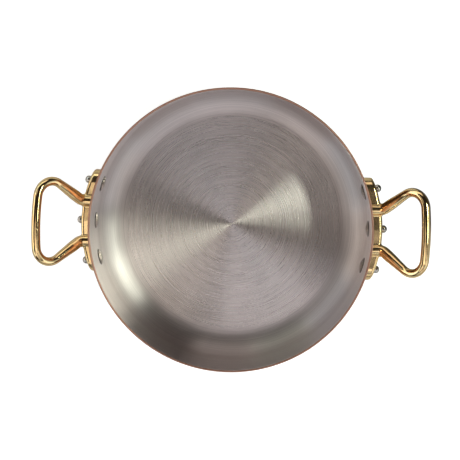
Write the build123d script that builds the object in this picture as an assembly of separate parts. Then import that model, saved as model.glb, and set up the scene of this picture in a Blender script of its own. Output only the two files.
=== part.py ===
from build123d import *
import math
import os

# A two-handled copper saute pan with a bonded steel lining and riveted cast bronze loop handles.
# Millimetres. The origin is the middle of the base, +Z is up and the handles lie along +X and -X.

# Body: a spun copper shell with a thin steel lining bonded inside it
pan_inner_diameter = 240.0
pan_height = 70.0
copper_thickness = 1.8
lining_thickness = 0.2
inner_corner_radius = 22.0
rim_edge_radius = 0.5

# Rivets: three to a handle, a broad domed head inside and a small closed head outside
rivets_below_rim = 39.0
rivet_pitch = 33.4
shank_diameter = 5.0
inner_head_overhang = 4.5
inner_head_edge = 0.7
inner_head_dome = 1.9
outer_head_overhang = 0.9
outer_head_side = 2.0
outer_head_dome = 2.6

# Handle loop: a round rod in one tilted plane, its outer bar slightly bowed
loop_reach = 50.3
loop_width = 77.4
loop_rise_angle = 42.0
loop_corner_radius = 14.0
loop_bar_bow_radius = 230.0
rod_diameter = 7.8

# Handle arms: they swell towards the flange, bend level and run into its upper edge between the rivets
arm_swelling = 2.0
arm_root_fillet = 2.0
arm_root_share = 0.515
arm_root_lift = 9.0
arm_bend_radius = 8.0

# Handle flange: it follows the wall, thickest between the arms, its long edges drawn in slightly between rivets
flange_middle_thickness = 9.6
flange_end_thickness = 8.2
flange_edge_radius = 2.8
flange_lobe_diameter = 22.0
flange_scallop = 0.2

# Both handles stand this far round from the pan's middle line, towards the back
handle_lead_angle = 1.0

# How far a cutting or trimming solid runs past what it trims
overrun = 5.0

pan_inner_radius = pan_inner_diameter / 2
lining_outer_radius = pan_inner_radius + lining_thickness
shell_outer_radius = lining_outer_radius + copper_thickness
shell_corner_radius = inner_corner_radius + lining_thickness + copper_thickness
rivet_height = pan_height - rivets_below_rim
rivet_angle = math.degrees(rivet_pitch / shell_outer_radius)
right_turn = handle_lead_angle
left_turn = 180 - handle_lead_angle
shank_radius = shank_diameter / 2
rod_radius = rod_diameter / 2
arm_root_radius = (rod_diameter + arm_swelling) / 2

# The flange: three lobes joined at barely slimmer necks, its face a cylinder through its two thicknesses
flange_face = shell_outer_radius + flange_middle_thickness
flange_end = shell_outer_radius + flange_end_thickness
lobe_radius = flange_lobe_diameter / 2
neck = lobe_radius - flange_scallop
lobe_pitch = (shell_outer_radius + flange_end) / 2 * math.sin(math.radians(rivet_angle))
flange_half_width = lobe_pitch + lobe_radius
flange_end_depth = flange_face - math.sqrt(flange_end**2 - flange_half_width**2)
crown_centre = (flange_face**2 - flange_end**2) / (2 * flange_end_depth)
crown_radius = flange_face - crown_centre

# The loop in its own plane, where x runs outwards from the flange face and y along it
arm_root_y = lobe_pitch * arm_root_share
bow_centre_x = loop_reach - rod_radius - loop_bar_bow_radius
bow_to_corner = loop_bar_bow_radius - loop_corner_radius
corner_y = loop_width / 2 - rod_radius - loop_corner_radius
corner_x = bow_centre_x + math.sqrt(bow_to_corner**2 - corner_y**2)
bow_angle = math.degrees(math.asin(corner_y / bow_to_corner))
root_to_corner = math.hypot(corner_x, corner_y - arm_root_y)
arm_length = math.sqrt(root_to_corner**2 - loop_corner_radius**2)
arm_angle = math.degrees(
    math.atan2(corner_y - arm_root_y, corner_x) + math.asin(loop_corner_radius / root_to_corner)
)


def bowl(radius, corner_radius, floor):
    """A solid of the pan's form: flat floor, rounded corner and a straight wall up to past the rim."""
    top = pan_height + overrun
    outline = Curve() + [
        Line((0, floor), (radius - corner_radius, floor)),
        CenterArc((radius - corner_radius, floor + corner_radius), corner_radius, -90, 90),
        Line((radius, floor + corner_radius), (radius, top)),
        Line((radius, top), (0, top)),
        Line((0, top), (0, floor)),
    ]
    return revolve(Plane.YZ * make_face(outline), Axis.Z)


def outer_form():
    return bowl(shell_outer_radius, shell_corner_radius, 0)


def bonding_form():
    """The surface on which the copper and the lining meet."""
    return bowl(lining_outer_radius, inner_corner_radius + lining_thickness, copper_thickness)


def inner_form():
    return bowl(pan_inner_radius, inner_corner_radius, copper_thickness + lining_thickness)


def up_to_rim(solid):
    """Cuts a bowl off at the rim."""
    reach = shell_outer_radius + overrun
    return solid - Pos(0, 0, pan_height) * Cylinder(
        reach, pan_height, align=(Align.CENTER, Align.CENTER, Align.MIN)
    )


def radial(solid, turn):
    """Carries a solid made about the +X axis up to the rivets' height and round the pan by a turn."""
    return Rot(0, 0, turn) * Pos(0, 0, rivet_height) * solid


def rivet_bore():
    """The shank's bore along +X, from inside the wall to past the flange."""
    start = pan_inner_radius - overrun
    return extrude(Plane.YZ.offset(start) * Circle(shank_radius), flange_face + overrun - start)


def drilled(solid, turns):
    """Cuts the bores of three rivets about each of the given turns."""
    for turn in turns:
        for step in (-1, 0, 1):
            solid = solid - radial(rivet_bore(), turn + step * rivet_angle)
    return solid


def copper_shell():
    """The copper body, with its outer rim edge rounded."""
    shell = up_to_rim(outer_form() - bonding_form())
    rim = shell.edges().filter_by(GeomType.CIRCLE).group_by(Axis.Z)[-1].sort_by(SortBy.RADIUS)[-1]
    return drilled(fillet(rim, rim_edge_radius), (right_turn, left_turn))


def steel_lining():
    """The thin steel skin on the floor and the wall."""
    return drilled(up_to_rim(bonding_form() - inner_form()), (right_turn, left_turn))


def crown_cylinder():
    """The cylinder of the flange's outer face, its seam on the far side."""
    return Pos(crown_centre, 0, 0) * Rot(0, 0, 180) * Cylinder(crown_radius, 2 * (pan_height + overrun))


def lobed_outline():
    """The flange seen along X: a round lobe about each rivet, joined by hollow arcs touching the lobes."""
    hollow = (lobe_pitch**2 / 4 + neck**2 - lobe_radius**2) / (2 * (lobe_radius - neck))
    meeting = math.degrees(math.atan2(neck + hollow, lobe_pitch / 2))
    quarter = Curve() + [
        CenterArc((lobe_pitch, 0), lobe_radius, 0, 180 - meeting),
        CenterArc((lobe_pitch / 2, neck + hollow), hollow, -meeting, 2 * meeting - 180),
        CenterArc((0, 0), lobe_radius, meeting, 90 - meeting),
    ]
    half = quarter + mirror(quarter, about=Plane.YZ)
    return make_face(half + mirror(half, about=Plane.XZ))


def loop_plane():
    """The tilted plane of the loop, from over the middle of the flange face."""
    rise = math.radians(loop_rise_angle)
    return Plane(
        (flange_face, 0, rivet_height + arm_root_lift),
        x_dir=(math.cos(rise), 0, math.sin(rise)),
        z_dir=(-math.sin(rise), 0, math.cos(rise)),
    )


def loop_rod():
    """The loop's two corners and its bowed bar, as one round rod."""
    turn = 90 + arm_angle - bow_angle
    path = loop_plane() * Wire(
        [
            CenterArc((corner_x, corner_y), loop_corner_radius, 90 + arm_angle, -turn),
            CenterArc((bow_centre_x, 0), loop_bar_bow_radius, bow_angle, -2 * bow_angle),
            CenterArc((corner_x, -corner_y), loop_corner_radius, -bow_angle, -turn),
        ]
    )
    return sweep(Plane(path @ 0, z_dir=path % 0) * Circle(rod_radius), path)


def arm(side):
    """One arm: a level root out of the wall, a bend, and a cone to the rod at the loop's corner."""
    along = loop_plane() * Pos(0, side * arm_root_y) * Rot(0, 0, side * arm_angle) * Plane.YZ.location
    elbow = along.position
    outwards = Plane(along).z_dir
    setback = arm_bend_radius * math.tan(math.acos(outwards.X))
    path = FilletPolyline((0, elbow.Y, elbow.Z), elbow, elbow + outwards * setback, radius=arm_bend_radius)
    root = sweep(Plane(path @ 0, z_dir=path % 0) * Circle(arm_root_radius), path)
    upright = (Align.CENTER, Align.CENTER, Align.MIN)
    cone = Cone(arm_root_radius, rod_radius, arm_length - setback, align=upright)
    return root + along * Pos(0, 0, setback) * cone


def crown_face(casting):
    """The flange's outer face."""
    return casting.faces().filter_by(GeomType.CYLINDER).sort_by(Axis.X)[-1]


def handle():
    """One casting about the +X axis: flange, arms and loop, its back hollowed to the wall, drilled."""
    blank = extrude(Plane.YZ * Pos(0, rivet_height) * lobed_outline(), flange_face + overrun)
    flange = blank & crown_cylinder()
    flange = fillet(crown_face(flange).outer_wire().edges(), flange_edge_radius)
    arms = arm(1) + arm(-1)
    casting = flange + arms
    casting = fillet(new_edges(flange, arms, combined=casting), arm_root_fillet)
    casting = casting + loop_rod() - outer_form()
    return drilled(casting, (0,))


def domed_head(radius, side, dome):
    """A head about +Z: a straight side, also running back past its seat, under a spherical dome."""
    sphere = (radius**2 + dome**2) / (2 * dome)
    tilt = math.degrees(math.asin(radius / sphere))
    outline = Curve() + [
        Line((0, -overrun), (radius, -overrun)),
        Line((radius, -overrun), (radius, side)),
        CenterArc((0, side + dome - sphere), sphere, 90 - tilt, tilt),
        Line((0, side + dome), (0, -overrun)),
    ]
    return revolve(Plane.XZ * make_face(outline), Axis.Z)


def rivet(step):
    """One rivet about +X: its inner head is shaped to the wall and its outer head to the flange."""
    turn = step * rivet_angle
    slant = math.radians(turn)
    aside = crown_centre * math.sin(slant)
    seat = crown_centre * math.cos(slant) + math.sqrt(crown_radius**2 - aside**2)
    inner_head = domed_head(shank_radius + inner_head_overhang, inner_head_edge, inner_head_dome)
    inner_head = radial(Pos(pan_inner_radius, 0, 0) * Rot(0, -90, 0) * inner_head, turn)
    outer_head = domed_head(shank_radius + outer_head_overhang, outer_head_side, outer_head_dome)
    outer_head = radial(Pos(seat, 0, 0) * Rot(0, 90, 0) * outer_head, turn)
    shank_start = pan_inner_radius - inner_head_edge / 2
    shank_end = seat + outer_head_side / 2
    shank = extrude(Plane.YZ.offset(shank_start) * Circle(shank_radius), shank_end - shank_start)
    return (inner_head & inner_form()) + radial(shank, turn) + (outer_head - crown_cylinder())


def main():
    os.makedirs("parts", exist_ok=True)
    pieces = {"copper_shell": copper_shell(), "steel_lining": steel_lining()}
    for side, turn, hand in (("right", right_turn, 1), ("left", left_turn, -1)):
        pieces[f"{side}_handle"] = Rot(0, 0, turn) * handle()
        for place, step in (("front", -1), ("middle", 0), ("rear", 1)):
            pieces[f"{side}_rivet_{place}"] = Rot(0, 0, turn) * rivet(hand * step)
    for name, piece in pieces.items():
        export_step(piece, f"parts/{name}.step")


main()
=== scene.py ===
import math

import bpy
import numpy as np
from mathutils import Matrix, Vector


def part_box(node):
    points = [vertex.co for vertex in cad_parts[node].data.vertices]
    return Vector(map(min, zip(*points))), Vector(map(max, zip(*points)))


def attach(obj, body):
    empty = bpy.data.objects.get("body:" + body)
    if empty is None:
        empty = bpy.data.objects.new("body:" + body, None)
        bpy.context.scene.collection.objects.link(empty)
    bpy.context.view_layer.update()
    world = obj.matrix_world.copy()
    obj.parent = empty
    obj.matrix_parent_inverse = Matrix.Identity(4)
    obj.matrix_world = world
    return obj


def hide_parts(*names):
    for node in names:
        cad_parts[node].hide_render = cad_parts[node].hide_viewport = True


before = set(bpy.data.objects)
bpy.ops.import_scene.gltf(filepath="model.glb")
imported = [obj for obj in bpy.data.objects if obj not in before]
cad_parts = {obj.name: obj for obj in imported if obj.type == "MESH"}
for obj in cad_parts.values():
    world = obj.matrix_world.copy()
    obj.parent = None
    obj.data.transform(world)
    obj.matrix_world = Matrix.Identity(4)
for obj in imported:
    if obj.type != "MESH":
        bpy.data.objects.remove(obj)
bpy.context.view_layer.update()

# A copper saute pan with a brushed steel lining and two riveted bronze loop handles. Sizes are in metres.

MM = 0.001

# Sizes of the pan's wall
LINING_THICKNESS = 0.2 * MM
INNER_CORNER_RADIUS = 22 * MM
RIM_EDGE_RADIUS = 0.5 * MM
RIM_BREAK = 0.12 * MM

SHELL_LOW, SHELL_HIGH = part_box("copper_shell")
LINING_LOW, LINING_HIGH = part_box("steel_lining")
PAN_HEIGHT = SHELL_HIGH.z
SHELL_RADIUS = SHELL_HIGH.x
BOND_RADIUS = LINING_HIGH.x
BOND_FLOOR = LINING_LOW.z
INNER_RADIUS = BOND_RADIUS - LINING_THICKNESS
INNER_FLOOR = BOND_FLOOR + LINING_THICKNESS
FLAT_RADIUS = INNER_RADIUS - INNER_CORNER_RADIUS

# How finely the turned pieces are divided, and where their rings lie along the floor and up the wall
LATHE_STEPS = 360
CORNER_STEPS = 32
RIM_EDGE_STEPS = 8
RIM_BREAK_STEPS = 4
FLOOR_SHARES = np.linspace(0.02, 0.98, 25)
WALL_SHARES = np.linspace(0.05, 1, 12)

# The rounding of the rivet heads' edges
RIVET_EDGE_ROUNDING = 0.55 * MM
RIVET_EDGE_STEPS = 4
RIVET_EDGE_ANGLE = math.radians(35)
RIVET_WELD = 0.005 * MM

# The camera: how far above the rim it stands, how far it stands off the pan's axis, and how it is turned
CAMERA_HEIGHT = 1150 * MM
CAMERA_OFFSET = (32 * MM, 123 * MM)
CAMERA_ROLL = math.radians(1.86)
FIELD_WIDTH = 389 * MM
SENSOR_WIDTH = 36.0
IMAGE_SIZE = 460
RIM_CENTRE_PIXEL = (230.26, 231.5)

# Tints of the studio's lamps
PLAIN = (0.98, 0.98, 1)
COOL = (0.78, 0.92, 1)
WARM = (1, 0.95, 0.87)
GREENISH = (0.89, 1, 0.85)

# The low ring of softboxes: each lamp's azimuth, clockwise from +X as seen from above, its power and its tint
LOW_ELEVATION = 22
LOW_SIZE = (0.48, 0.32)
LOW_RING = (
    (0, 0.35, COOL),
    (30, 0.85, COOL),
    (60, 0.45, PLAIN),
    (90, 0.4, COOL),
    (150, 1.0, COOL),
    (180, 1.15, WARM),
    (210, 0.75, COOL),
    (240, 0.7, GREENISH),
    (270, 0.6, WARM),
)

# The middle ring, mostly on the near side
MIDDLE_ELEVATION = 48
MIDDLE_SIZE = (0.31, 0.36)
MIDDLE_RING = (
    (30, 0.4, WARM),
    (60, 0.2, COOL),
    (90, 0.3, PLAIN),
    (120, 0.45, PLAIN),
    (210, 0.2, WARM),
)

# Two boxes high over the near side
HIGH_ELEVATION = 70
HIGH_SIZE = (0.3, 0.26)
HIGH_PAIR = (
    (75, 0.5, PLAIN),
    (135, 0.4, WARM),
)

# The key light, a strip of small lamps bent round the right, which draws the pale wedges on the pan's floor
KEY_ELEVATION = 50
KEY_SIZE = (0.08, 0.055)
KEY_STRIP = (
    (328, 0.45, GREENISH),
    (336, 0.65, GREENISH),
    (344, 0.8, GREENISH),
    (352, 0.55, GREENISH),
    (0, 0.3, GREENISH),
    (7, 0.3, GREENISH),
)

LAMP_DISTANCE = 0.9
LAMP_RINGS = (
    (LOW_ELEVATION, LOW_SIZE, LOW_RING),
    (MIDDLE_ELEVATION, MIDDLE_SIZE, MIDDLE_RING),
    (HIGH_ELEVATION, HIGH_SIZE, HIGH_PAIR),
    (KEY_ELEVATION, KEY_SIZE, KEY_STRIP),
)

# The paper floor: its half width, its place under the pan, its tone, and its glow for the eye near and far
FLOOR_REACH = 6.0
FLOOR_DROP = 0.05 * MM
PAPER_TONE = (0.8, 0.8, 0.8)
GLOW_NEAR = (0.75, 0.75, 0.75)
GLOW_FAR = (1.0, 1.0, 1.0)
GLOW_EDGES = (200 * MM, 500 * MM)
GLOW_IN_METAL = 0.05

# The dark card on the floor: its tone, and how its left and near edges fade
CARD_TONE = (0.06, 0.06, 0.06)
CARD_LEFT_EDGES = (100 * MM, 170 * MM)
CARD_NEAR_EDGES = (-35 * MM, 5 * MM)

# The world's light by height, from the horizon up, and by side, from near to far
WORLD_STOPS = (
    (0.0, (0.45, 0.44, 0.43)),
    (0.12, (0.30, 0.29, 0.28)),
    (0.5, (0.14, 0.13, 0.12)),
)
WORLD_NEAR, WORLD_FAR = 0.25, 0.15
WORLD_SIDES = (-0.3, 0.7)

# Polished copper: colours, turning lines per metre and round the axis, soft clouds, and a duller, darker rim
COPPER_LIGHT = (0.64, 0.36, 0.24)
COPPER_DARK = (0.57, 0.30, 0.19)
COPPER_RIM = (0.42, 0.225, 0.165)
TURNING_LINES, TURNING_STREAKS = 9000, 14
TURNING_DEPTH, TURNING_STRENGTH = 0.01 * MM, 0.4
CLOUDS = 26.0
CLOUD_EDGES = (0.35, 0.7)
RIM_EDGES = (PAN_HEIGHT - 2 * RIM_EDGE_RADIUS, PAN_HEIGHT - 0.5 * RIM_EDGE_RADIUS)
COPPER_ROUGHNESS = 0.14
TURNING_ROUGHNESS, CLOUD_ROUGHNESS, RIM_ROUGHNESS = 0.10, 0.05, 0.15

# Ring-brushed steel: colours, then its marks, per metre across them and round the axis
STEEL_LIGHT = (0.68, 0.60, 0.585)
STEEL_DARK = (0.55, 0.485, 0.475)
RINGS = 900.0
STROKES, STROKES_ROUND = 700, 1.5
RING_SHARE, STROKE_SHARE = 0.65, 0.35
MARK_EDGES = (0.35, 0.65)
GROOVES, GROOVES_ROUND = 6000, 3
GROOVE_SLOPE = 0.4
ACROSS_THE_GROOVES = 0.25
AXIS_GUARD = 0.1 * MM

# The brushed steel is smoother on the flat floor than in the corner and on the wall
DULLING_EDGES = (FLAT_RADIUS, FLAT_RADIUS + 8 * MM)
FLOOR_ROUGHNESS, WALL_ROUGHNESS, MARK_ROUGHNESS = 0.26, 0.33, 0.03

# Polished bronze: colours, soft waves, scratches per metre across and along Y, and a duller flange
BRONZE_LIGHT = (0.81, 0.575, 0.30)
BRONZE_DARK = (0.75, 0.515, 0.255)
WAVES = 60.0
WAVE_EDGES = (0.3, 0.7)
WAVE_HEIGHT, WAVE_STRENGTH = 0.8 * MM, 0.25
SCRATCHES, SCRATCHES_ALONG = 500, 90
FLANGE_EDGES = (SHELL_RADIUS + 11 * MM, SHELL_RADIUS + 18 * MM)
BRONZE_ROUGHNESS = 0.06
SCRATCH_ROUGHNESS, FLANGE_ROUGHNESS = 0.07, 0.10

# Rivet steel: colours, light dents, and where the painted shade at the foot of the inner heads begins and
# ends
RIVET_LIGHT = (0.56, 0.51, 0.46)
RIVET_DARK = (0.43, 0.38, 0.34)
# The colour of the painted shade at the foot of the inner heads, where they meet the lining
PAINTED_FOOT_SHADE = (0.07, 0.06, 0.055)
DENTS = 320.0
DENT_EDGES = (0.3, 0.7)
DENT_HEIGHT, DENT_STRENGTH = 0.6 * MM, 0.6
PAINTED_SHADE_EDGES = (INNER_RADIUS - 1.0 * MM, INNER_RADIUS - 0.3 * MM)
OUTSIDE_EDGES = (SHELL_RADIUS, SHELL_RADIUS + 1 * MM)
RIVET_ROUGHNESS, DENT_ROUGHNESS = 0.13, 0.10

# Places of a Mix node's sockets when it mixes colours
MIX_SHARE = 0
MIX_FIRST = 6
MIX_SECOND = 7
MIX_RESULT = 2


class Signal:
    """A shader socket that carries a number, so that node maths can be written as Python sums."""

    def __init__(self, finish, socket):
        self.finish = finish
        self.socket = socket

    def math(self, operation, *values):
        return self.finish.node("ShaderNodeMath", {"operation": operation}, values)

    def __add__(self, other):
        return self.math("ADD", self, other)

    def __radd__(self, other):
        return self.math("ADD", other, self)

    def __sub__(self, other):
        return self.math("SUBTRACT", self, other)

    def __rsub__(self, other):
        return self.math("SUBTRACT", other, self)

    def __mul__(self, other):
        return self.math("MULTIPLY", self, other)

    def __rmul__(self, other):
        return self.math("MULTIPLY", other, self)

    def __truediv__(self, other):
        return self.math("DIVIDE", self, other)

    def __rtruediv__(self, other):
        return self.math("DIVIDE", other, self)

    def root(self):
        return self.math("SQRT", self)

    def ramp(self, low, high, out_low=0.0, out_high=1.0):
        """A smooth change from one value to another while the signal goes from low to high."""
        settings = {"interpolation_type": "SMOOTHSTEP"}
        return self.finish.node("ShaderNodeMapRange", settings, (self, low, high, out_low, out_high))


class Finish:
    """One procedural material, or the studio's world, with the few node calls that the finishes need."""

    def __init__(self, name=None):
        if name is None:
            self.holder = bpy.data.worlds.new("studio")
        else:
            self.holder = bpy.data.materials.new(name)
        self.holder.use_nodes = True
        self.tree = self.holder.node_tree
        self.tree.nodes.clear()

    def node(self, kind, settings=None, inputs=(), output=0):
        """Adds a node, sets it up, fills its sockets by place or by name, and gives one output."""
        made = self.tree.nodes.new(kind)
        for key, value in (settings or {}).items():
            if key == "stops":
                self.set_stops(made.color_ramp, value)
            else:
                setattr(made, key, value)
        pairs = inputs.items() if isinstance(inputs, dict) else enumerate(inputs)
        for key, value in pairs:
            if isinstance(value, Signal):
                self.tree.links.new(value.socket, made.inputs[key])
            elif value is not None:
                made.inputs[key].default_value = value
        return Signal(self, made.outputs[output]) if made.outputs else None

    @staticmethod
    def set_stops(ramp, stops):
        while len(ramp.elements) < len(stops):
            ramp.elements.new(1.0)
        for element, (place, colour) in zip(ramp.elements, stops):
            element.position = place
            element.color = (*colour, 1.0)

    def parts(self, vector):
        """The three numbers of a vector."""
        first = self.node("ShaderNodeSeparateXYZ", inputs=[vector])
        return [Signal(self, socket) for socket in first.socket.node.outputs]

    def place(self):
        """The place on the object, in metres."""
        return self.node("ShaderNodeTexCoord", output="Object")

    def off_axis(self, place):
        """How far a place lies from the pan's axis."""
        x, y = self.parts(place)[:2]
        return (x * x + y * y).root()

    def vector(self, x, y, z):
        return self.node("ShaderNodeCombineXYZ", inputs=(x, y, z))

    def vector_math(self, operation, *vectors):
        return self.node("ShaderNodeVectorMath", {"operation": operation}, vectors)

    def scaled(self, vector, share):
        """A vector or a colour times a number."""
        return self.node("ShaderNodeVectorMath", {"operation": "SCALE"}, {"Vector": vector, "Scale": share})

    def noise(self, vector, scale, detail, roughness=0.5):
        inputs = {"Vector": vector, "Scale": scale, "Detail": detail, "Roughness": roughness}
        return self.node("ShaderNodeTexNoise", inputs=inputs)

    def line_noise(self, place, scale, detail, roughness):
        """Noise that changes along one number only."""
        inputs = {"W": place, "Scale": scale, "Detail": detail, "Roughness": roughness}
        return self.node("ShaderNodeTexNoise", {"noise_dimensions": "1D"}, inputs)

    def mix(self, share, first, second):
        """Mixes two colours by a share."""
        inputs = {MIX_SHARE: share, MIX_FIRST: self.colour(first), MIX_SECOND: self.colour(second)}
        return self.node("ShaderNodeMix", {"data_type": "RGBA"}, inputs, output=MIX_RESULT)

    @staticmethod
    def colour(value):
        return value if isinstance(value, Signal) else (*value, 1.0)

    def bump(self, height, distance, strength):
        inputs = {"Height": height, "Distance": distance, "Strength": strength}
        return self.node("ShaderNodeBump", inputs=inputs)

    def tilted(self, groove, slope):
        """The surface normal, tilted by a slope across the grooves of a brushed surface."""
        plain = self.node("ShaderNodeNewGeometry", output="Normal")
        across = self.vector_math("CROSS_PRODUCT", groove, plain)
        return self.vector_math("NORMALIZE", self.vector_math("ADD", plain, self.scaled(across, slope)))

    def metal(self, colour, roughness, normal, **constants):
        """A bare metal surface, made the material's output."""
        inputs = {"Base Color": colour, "Metallic": 1.0, "Roughness": roughness, "Normal": normal}
        inputs.update({key.replace("_", " "): value for key, value in constants.items()})
        return self.finish_with(self.node("ShaderNodeBsdfPrincipled", inputs=inputs))

    def finish_with(self, shader, output="ShaderNodeOutputMaterial"):
        self.node(output, inputs=[shader])
        return self.holder


def lathe(name, profile):
    """Turns a profile of (radius, height) points about Z; points on the axis become single vertices."""
    verts, faces, rows = [], [], []
    for radius, height in profile:
        start = len(verts)
        steps = LATHE_STEPS if radius > 0 else 1
        for step in range(steps):
            angle = 2 * math.pi * step / LATHE_STEPS
            verts.append((radius * math.cos(angle), radius * math.sin(angle), height))
        rows.append((start, steps))
    for (first, first_steps), (second, second_steps) in zip(rows, rows[1:]):
        for step in range(LATHE_STEPS):
            after = (step + 1) % LATHE_STEPS
            corners = [
                first + step % first_steps,
                second + step % second_steps,
                second + after % second_steps,
                first + after % first_steps,
            ]
            faces.append(list(dict.fromkeys(corners)))
    mesh = bpy.data.meshes.new(name)
    mesh.from_pydata(verts, [], faces)
    mesh.shade_smooth()
    piece = bpy.data.objects.new(name, mesh)
    bpy.context.scene.collection.objects.link(piece)
    return piece


def arc(centre, radius, start, end, steps):
    """Points on an arc in a profile, angles in degrees from the outward direction."""
    points = []
    for step in range(steps + 1):
        angle = math.radians(start + (end - start) * step / steps)
        points.append((centre[0] + radius * math.cos(angle), centre[1] + radius * math.sin(angle)))
    return points


def bowl_side(radius, corner, floor, top):
    """A bowl's profile from the middle of its floor, round its corner, and up its wall."""
    flat = radius - corner
    wall_foot = floor + corner
    points = [(0, floor)]
    points += [(flat * share, floor) for share in FLOOR_SHARES]
    points += arc((flat, wall_foot), corner, -90, 0, CORNER_STEPS)
    points += [(radius, wall_foot + (top - wall_foot) * share) for share in WALL_SHARES]
    return points


def bonding_side():
    """The surface on which copper and lining meet."""
    return bowl_side(BOND_RADIUS, INNER_CORNER_RADIUS + LINING_THICKNESS, BOND_FLOOR, PAN_HEIGHT)


def copper_shell():
    corner = INNER_CORNER_RADIUS + SHELL_RADIUS - INNER_RADIUS
    edge_height = PAN_HEIGHT - RIM_EDGE_RADIUS
    outside = bowl_side(SHELL_RADIUS, corner, SHELL_LOW.z, edge_height)
    edge = arc((SHELL_RADIUS - RIM_EDGE_RADIUS, edge_height), RIM_EDGE_RADIUS, 0, 90, RIM_EDGE_STEPS)
    piece = lathe("copper_body", outside + edge[1:] + bonding_side()[::-1])
    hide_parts("copper_shell")
    return piece


def steel_lining():
    break_height = PAN_HEIGHT - RIM_BREAK
    inside = bowl_side(INNER_RADIUS, INNER_CORNER_RADIUS, INNER_FLOOR, break_height)
    edge = arc((INNER_RADIUS + RIM_BREAK, break_height), RIM_BREAK, 180, 90, RIM_BREAK_STEPS)
    piece = lathe("brushed_lining", bonding_side() + (inside + edge[1:])[::-1])
    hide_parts("steel_lining")
    return piece


def round_rivet_edges(rivet):
    """Rounds the sharp edges of a rivet's two heads."""
    weld = rivet.modifiers.new("weld", "WELD")
    weld.merge_threshold = RIVET_WELD
    bevel = rivet.modifiers.new("bevel", "BEVEL")
    bevel.width = RIVET_EDGE_ROUNDING
    bevel.segments = RIVET_EDGE_STEPS
    bevel.limit_method = "ANGLE"
    bevel.angle_limit = RIVET_EDGE_ANGLE


def copper_finish():
    """Polished copper with faint turning lines, duller and darker on the rim."""
    finish = Finish("polished_copper")
    place = finish.place()
    x, y, z = finish.parts(place)
    radius = finish.off_axis(place)
    lines = finish.vector(x * TURNING_STREAKS, y * TURNING_STREAKS, (z + radius) * TURNING_LINES)
    turned = finish.noise(lines, scale=1.0, detail=3.0)
    cloud = finish.noise(place, CLOUDS, detail=3.0)
    wall = finish.mix(cloud.ramp(*CLOUD_EDGES), COPPER_LIGHT, COPPER_DARK)
    rim = z.ramp(*RIM_EDGES)
    colour = finish.mix(rim, wall, COPPER_RIM)
    marks = TURNING_ROUGHNESS * turned + CLOUD_ROUGHNESS * cloud
    roughness = COPPER_ROUGHNESS + marks + RIM_ROUGHNESS * rim
    return finish.metal(colour, roughness, finish.bump(turned, TURNING_DEPTH, TURNING_STRENGTH))


def brushed_steel_finish():
    """Steel brushed in rings: whole rings, short strokes, and fine grooves that spread the light outwards."""
    finish = Finish("ring_brushed_steel")
    place = finish.place()
    x, y, z = finish.parts(place)
    radius = finish.off_axis(place)
    along = radius + z
    never_zero = radius + AXIS_GUARD
    turn_x, turn_y = x / never_zero, y / never_zero

    def brushed(across, around, detail, roughness):
        place_in_rings = finish.vector(along * across, turn_x * around, turn_y * around)
        return finish.noise(place_in_rings, 1.0, detail, roughness)

    grooves = brushed(GROOVES, GROOVES_ROUND, detail=1.0, roughness=0.5)
    rings = finish.line_noise(along, RINGS, detail=3.0, roughness=0.6)
    strokes = brushed(STROKES, STROKES_ROUND, detail=3.0, roughness=0.6)
    marks = rings * RING_SHARE + strokes * STROKE_SHARE
    colour = finish.mix(marks.ramp(*MARK_EDGES), STEEL_DARK, STEEL_LIGHT)
    roughness = along.ramp(*DULLING_EDGES, FLOOR_ROUGHNESS, WALL_ROUGHNESS) + MARK_ROUGHNESS * marks
    round_the_axis = finish.vector(0.0 - turn_y, turn_x, 0.0)
    normal = finish.tilted(round_the_axis, (grooves - 0.5) * GROOVE_SLOPE)
    return finish.metal(colour, roughness, normal, Anisotropic=1.0, Anisotropic_Rotation=ACROSS_THE_GROOVES)


def bronze_finish():
    """Cast bronze polished by hand, softly uneven, a little duller on the flange next to the wall."""
    finish = Finish("polished_bronze")
    place = finish.place()
    x, y, z = finish.parts(place)
    radius = finish.off_axis(place)
    waves = finish.noise(place, WAVES, detail=1.0)
    polishing = finish.vector(x * SCRATCHES, y * SCRATCHES_ALONG, z * SCRATCHES)
    scratches = finish.noise(polishing, scale=1.0, detail=3.0)
    colour = finish.mix(waves.ramp(*WAVE_EDGES), BRONZE_LIGHT, BRONZE_DARK)
    flange = radius.ramp(*FLANGE_EDGES, 1.0, 0.0)
    roughness = BRONZE_ROUGHNESS + SCRATCH_ROUGHNESS * scratches + FLANGE_ROUGHNESS * flange
    return finish.metal(colour, roughness, finish.bump(waves, WAVE_HEIGHT, WAVE_STRENGTH))


def rivet_finish():
    """Rivet steel, lightly dented, with painted shade where the inner heads meet the lining."""
    finish = Finish("rivet_steel")
    place = finish.place()
    radius = finish.off_axis(place)
    dents = finish.noise(place, DENTS, detail=2.0)
    steel = finish.mix(dents.ramp(*DENT_EDGES), RIVET_LIGHT, RIVET_DARK)
    # Painted shade: a dark ring on the inner heads where they meet the lining, kept off the outer heads
    painted_shade = radius.ramp(*PAINTED_SHADE_EDGES) * radius.ramp(*OUTSIDE_EDGES, 1.0, 0.0)
    colour = finish.mix(painted_shade, steel, PAINTED_FOOT_SHADE)
    roughness = RIVET_ROUGHNESS + DENT_ROUGHNESS * dents
    return finish.metal(colour, roughness, finish.bump(dents, DENT_HEIGHT, DENT_STRENGTH))


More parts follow.
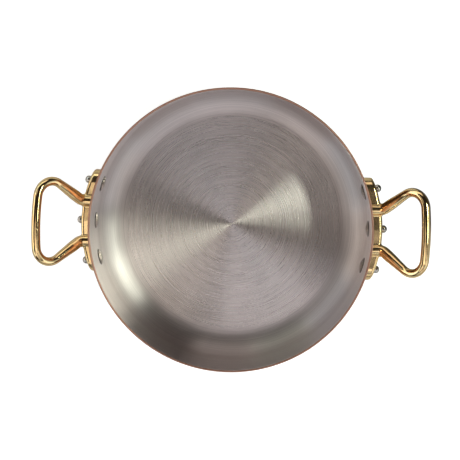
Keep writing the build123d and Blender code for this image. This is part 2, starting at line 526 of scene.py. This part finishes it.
def floor_finish():
    """White paper that takes the pan's shadow and glows for the eye; a dark card lies on its far right."""
    finish = Finish("white_floor")
    camera = finish.node("ShaderNodeLightPath", output="Is Camera Ray")
    glossy = finish.node("ShaderNodeLightPath", output="Is Glossy Ray")
    place = finish.place()
    x, y = finish.parts(place)[:2]
    card = x.ramp(*CARD_LEFT_EDGES) * y.ramp(*CARD_NEAR_EDGES)
    around_pan = finish.off_axis(place).ramp(*GLOW_EDGES, 1.0, 0.0)
    tone = finish.mix(card, PAPER_TONE, CARD_TONE)
    glow_tone = finish.mix((1.0 - card) * around_pan, GLOW_FAR, GLOW_NEAR)
    paper = finish.node("ShaderNodeBsdfDiffuse", inputs={"Color": tone})
    seen = camera + glossy * GLOW_IN_METAL
    glow = finish.node("ShaderNodeEmission", inputs={"Color": glow_tone, "Strength": seen})
    return finish.finish_with(finish.node("ShaderNodeAddShader", inputs=(paper, glow)))


def studio_world():
    """A dim studio, palest near the horizon; its far side, towards +Y, is darker than the near one."""
    world = Finish()
    far, up = world.parts(world.node("ShaderNodeTexCoord", output="Generated"))[1:]
    shade = world.node("ShaderNodeValToRGB", {"stops": WORLD_STOPS}, [up])
    dimmed = world.scaled(shade, far.ramp(*WORLD_SIDES, WORLD_NEAR, WORLD_FAR))
    background = world.node("ShaderNodeBackground", inputs={"Color": dimmed, "Strength": 1.0})
    bpy.context.scene.world = world.finish_with(background, "ShaderNodeOutputWorld")


def softbox(azimuth, elevation, size, power, tint):
    """A soft lamp that faces the middle of the pan's base."""
    light = bpy.data.lights.new("softbox", "AREA")
    light.shape = "RECTANGLE"
    light.size, light.size_y = size
    light.energy = power
    light.color = tint
    lamp = bpy.data.objects.new("softbox", light)
    bpy.context.scene.collection.objects.link(lamp)
    turn, rise = math.radians(-azimuth), math.radians(elevation)
    away = Vector((math.cos(turn) * math.cos(rise), math.sin(turn) * math.cos(rise), math.sin(rise)))
    lamp.location = away * LAMP_DISTANCE
    lamp.rotation_euler = away.to_track_quat("Z", "Y").to_euler()
    lamp.visible_camera = False


def studio_floor():
    mesh = bpy.data.meshes.new("floor")
    low, high = -FLOOR_REACH, FLOOR_REACH
    corners = [(low, low, 0), (high, low, 0), (high, high, 0), (low, high, 0)]
    mesh.from_pydata(corners, [], [(0, 1, 2, 3)])
    floor = bpy.data.objects.new("floor", mesh)
    floor.location.z = -FLOOR_DROP
    bpy.context.scene.collection.objects.link(floor)
    floor.data.materials.append(floor_finish())


def studio_camera():
    """A camera that looks down on the middle of the rim, with the rim where the photograph has it."""
    data = bpy.data.cameras.new("camera")
    camera = bpy.data.objects.new("camera", data)
    bpy.context.scene.collection.objects.link(camera)
    bpy.context.scene.camera = camera
    data.sensor_width = SENSOR_WIDTH
    data.lens = SENSOR_WIDTH * CAMERA_HEIGHT / FIELD_WIDTH
    aim = Vector((0, 0, PAN_HEIGHT))
    place = aim + Vector((*CAMERA_OFFSET, CAMERA_HEIGHT))
    back = (place - aim).normalized()
    right = Vector((math.cos(CAMERA_ROLL), math.sin(CAMERA_ROLL), 0))
    right = (right - back * right.dot(back)).normalized()
    up = back.cross(right)
    turn = Matrix((right, up, back)).transposed()
    camera.matrix_world = Matrix.Translation(place) @ turn.to_4x4()
    half = IMAGE_SIZE / 2
    data.shift_x = (half - RIM_CENTRE_PIXEL[0]) / IMAGE_SIZE
    data.shift_y = (RIM_CENTRE_PIXEL[1] - half) / IMAGE_SIZE


def dress(piece, material):
    piece.data.materials.clear()
    piece.data.materials.append(material)


def build_pan():
    """Turns the body and the lining, and gives all ten pieces their finishes."""
    turned = (
        (copper_shell(), "copper", copper_finish()),
        (steel_lining(), "lining_steel", brushed_steel_finish()),
    )
    for piece, slot, material in turned:
        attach(piece, "root")
        dress(piece, material)
    bronze, rivet_steel = bronze_finish(), rivet_finish()
    for name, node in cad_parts.items():
        if name.endswith("_handle"):
            dress(node, bronze)
        elif "_rivet_" in name:
            dress(node, rivet_steel)
            round_rivet_edges(node)


def build_studio():
    bpy.context.scene.view_settings.view_transform = "Standard"
    studio_world()
    studio_floor()
    for elevation, size, ring in LAMP_RINGS:
        for azimuth, power, tint in ring:
            softbox(azimuth, elevation, size, power, tint)
    studio_camera()


build_pan()
build_studio()
